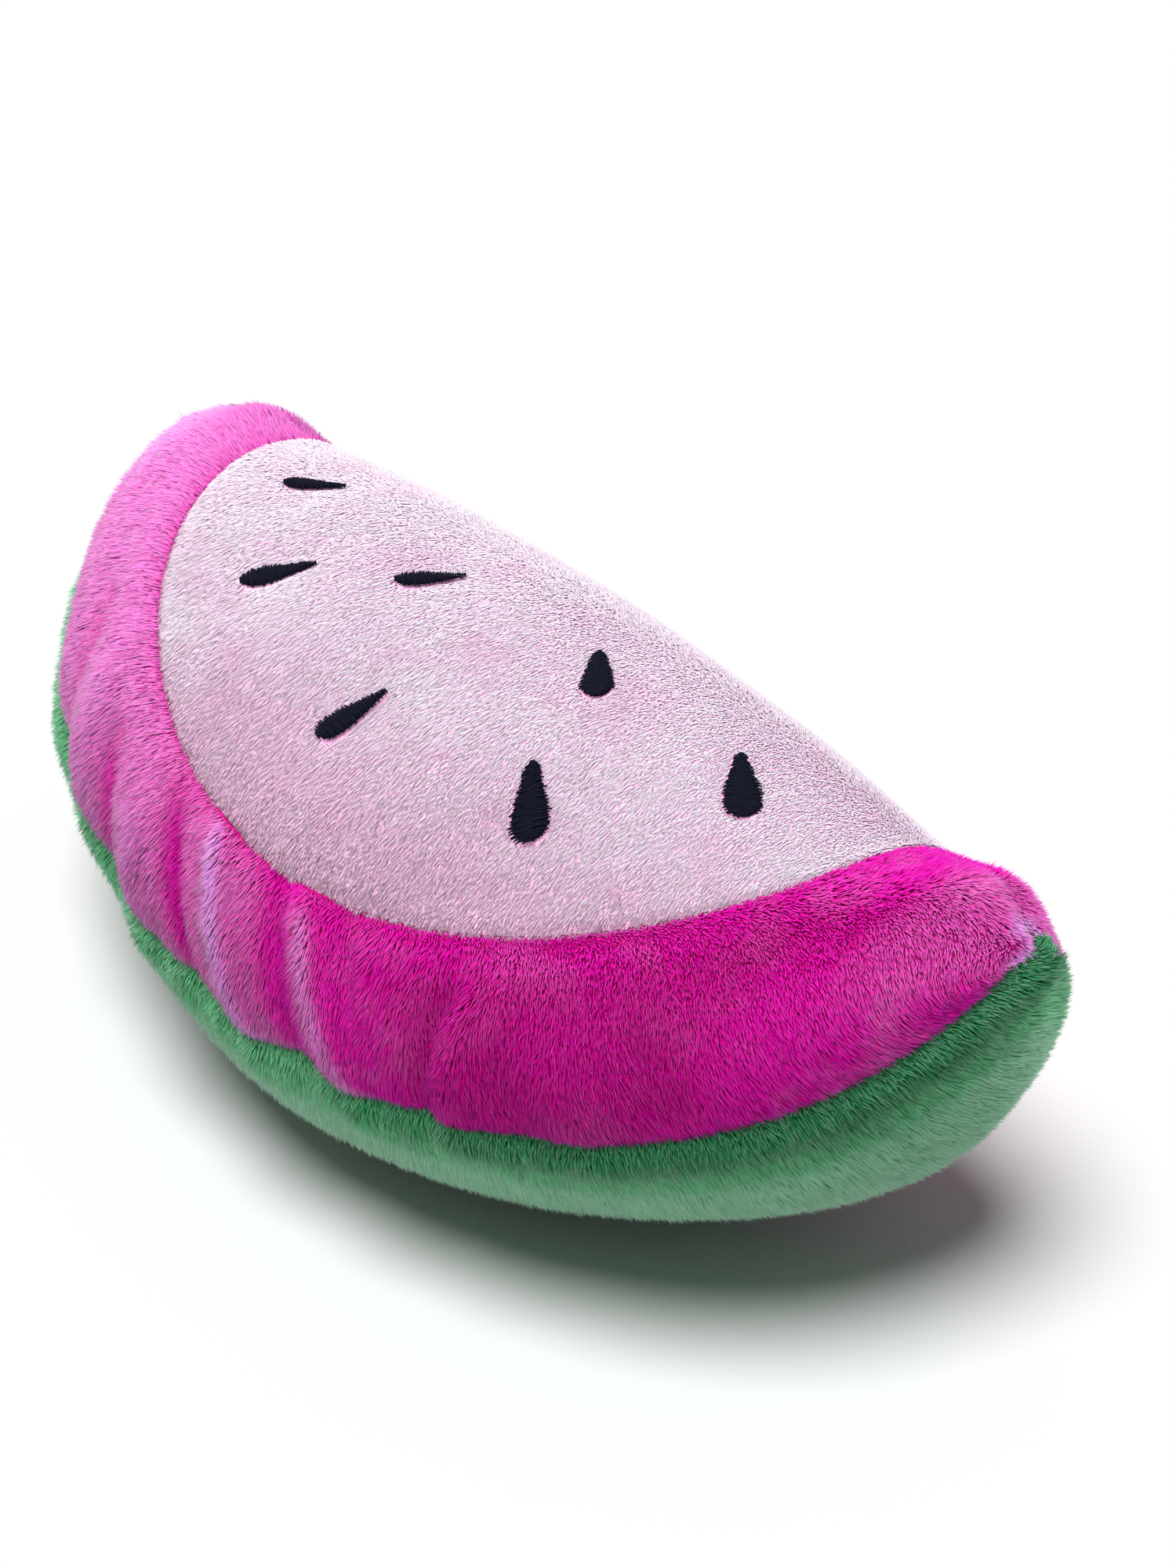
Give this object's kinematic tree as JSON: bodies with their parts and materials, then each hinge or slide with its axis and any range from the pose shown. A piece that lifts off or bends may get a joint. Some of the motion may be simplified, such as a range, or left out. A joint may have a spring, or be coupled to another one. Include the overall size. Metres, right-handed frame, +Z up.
{
  "type": "squeaky dog toy",
  "caption": "Wedge-shaped plush melon slice dog toy, leaning back on its rind, with sewn panels, embroidered seeds, stuffing and a reed squeaker that sounds when the slice is squeezed.",
  "frame": {"origin": "on the floor under the middle of the toy's bounding box", "axes": "+Z up, +X along the ridge from one tip to the other, -Y the side that the front face leans towards, as the toy rests on the rear half of its rind"},
  "size_m": [0.205, 0.0968, 0.0925],
  "materials": {
    "flesh_plush": "short polyester plush pile, pale pink",
    "band_plush": "short polyester plush pile, magenta",
    "rind_plush": "short polyester plush pile, leaf green",
    "seed_thread": "satin-stitched embroidery thread, near black",
    "stuffing": "loose polyester fibre filling",
    "bulb_vinyl": "thin blow-moulded soft vinyl, translucent white",
    "reed_plastic": "moulded white plastic",
    "reed_film": "thin polyester film"
  },
  "bodies": {
    "back_half": {"flesh_back": "flesh_plush", "band_back": "band_plush", "rind": "rind_plush", "stuffing_back": "stuffing", "squeaker_bulb": "bulb_vinyl", "reed_housing": "reed_plastic", "reed_wedge": "reed_plastic", "seed_back_1": "seed_thread", "seed_back_2": "seed_thread", "seed_back_3": "seed_thread", "seed_back_4": "seed_thread", "seed_back_5": "seed_thread", "seed_back_6": "seed_thread", "seed_back_7": "seed_thread"},
    "front_half": {"flesh_front": "flesh_plush", "band_front": "band_plush", "stuffing_front": "stuffing", "seed_front_1": "seed_thread", "seed_front_2": "seed_thread", "seed_front_3": "seed_thread", "seed_front_4": "seed_thread", "seed_front_5": "seed_thread", "seed_front_6": "seed_thread", "seed_front_7": "seed_thread"},
    "reed": {"reed": "reed_film"}
  },
  "joints": [
    {"name": "squeeze", "type": "hinge", "parent": "back_half", "child": "front_half", "pos_m": [0, 0.02628, 0.0794], "axis": [1, 0, 0], "range_deg": [0, 12], "stiffness_Nm_per_rad": 2.5, "springref_deg": -1, "deforming": ["stuffing_front", "stuffing_back", "squeaker_bulb"]},
    {"name": "reed_flex", "type": "hinge", "parent": "back_half", "child": "reed", "pos_m": [0.0227, 0.00517, 0.04726], "axis": [0, 0.8358, -0.549], "range_deg": [0, 4.5], "stiffness_Nm_per_rad": 0.000003, "springref_deg": -0.57}
  ]
}
